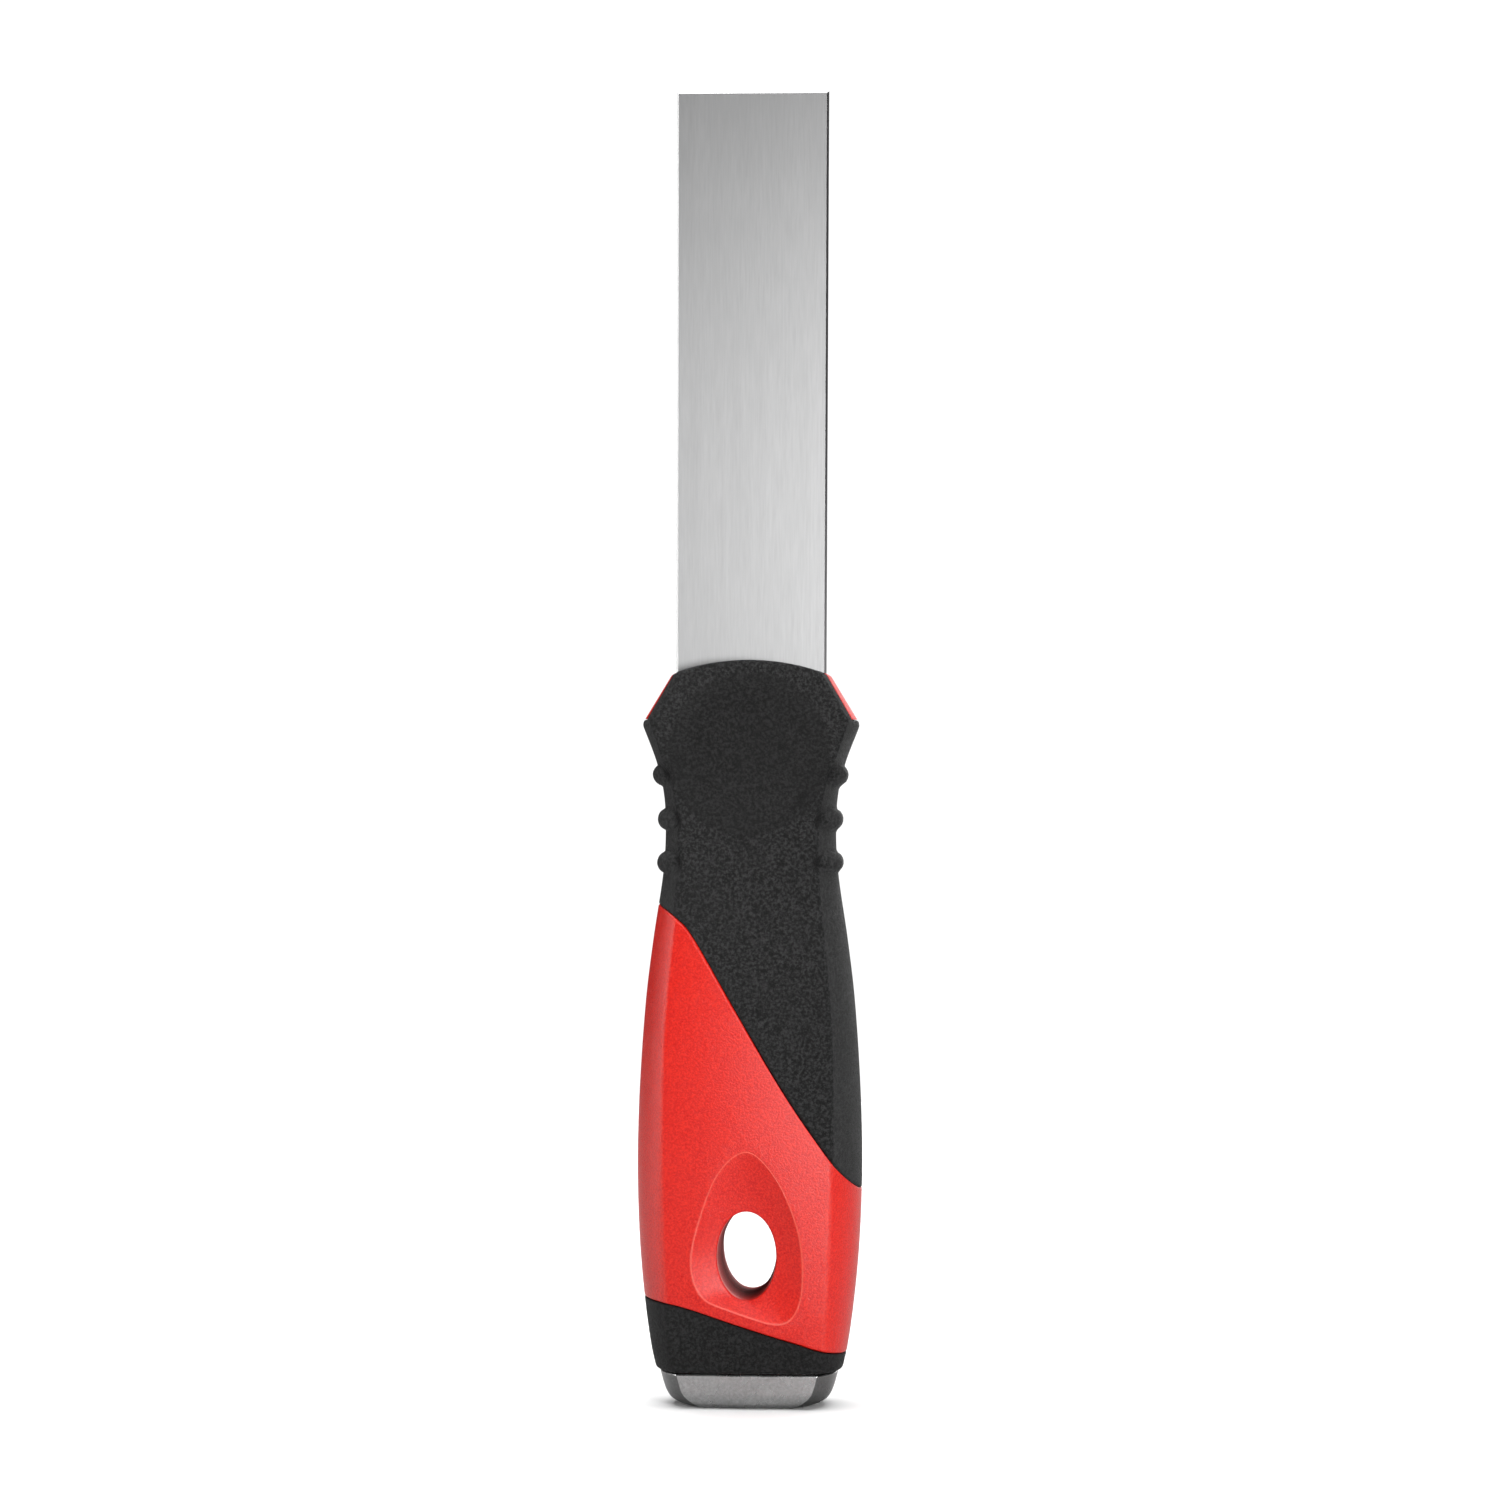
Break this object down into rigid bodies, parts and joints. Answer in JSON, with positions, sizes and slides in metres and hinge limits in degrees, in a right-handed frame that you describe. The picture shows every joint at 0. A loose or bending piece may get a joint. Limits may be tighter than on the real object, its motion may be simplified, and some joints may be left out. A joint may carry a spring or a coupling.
{
  "type": "putty knife",
  "caption": "Stiff square-ended putty knife and scraper with a two-material grip, a hanging hole and a steel striking cap on the butt of the handle.",
  "frame": {"origin": "middle of the striking face, on the underside of the steel cap, as the knife stands on its cap", "axes": "+Z along the knife from the striking face to the blade's tip, +X to the right across the blade as seen from the front, -Y out of the front of the handle"},
  "size_m": [0.0374, 0.025, 0.2184],
  "materials": {
    "blade_steel": "satin steel with fine lengthwise grinding lines",
    "cap_steel": "satin to bright pressed steel",
    "rivet_steel": "plain steel",
    "red_plastic": "moulded plastic with a fine spark-eroded grain and a soft sheen",
    "black_rubber": "matt moulded soft rubber with a fine grain"
  },
  "bodies": {
    "root": {"blade": "blade_steel", "core_front_shell": "red_plastic", "core_back_shell": "red_plastic", "front_grip": "black_rubber", "rear_grip": "black_rubber", "striking_cap": "cap_steel", "tang_rivet_upper": "rivet_steel", "tang_rivet_lower": "rivet_steel"}
  },
  "joints": []
}
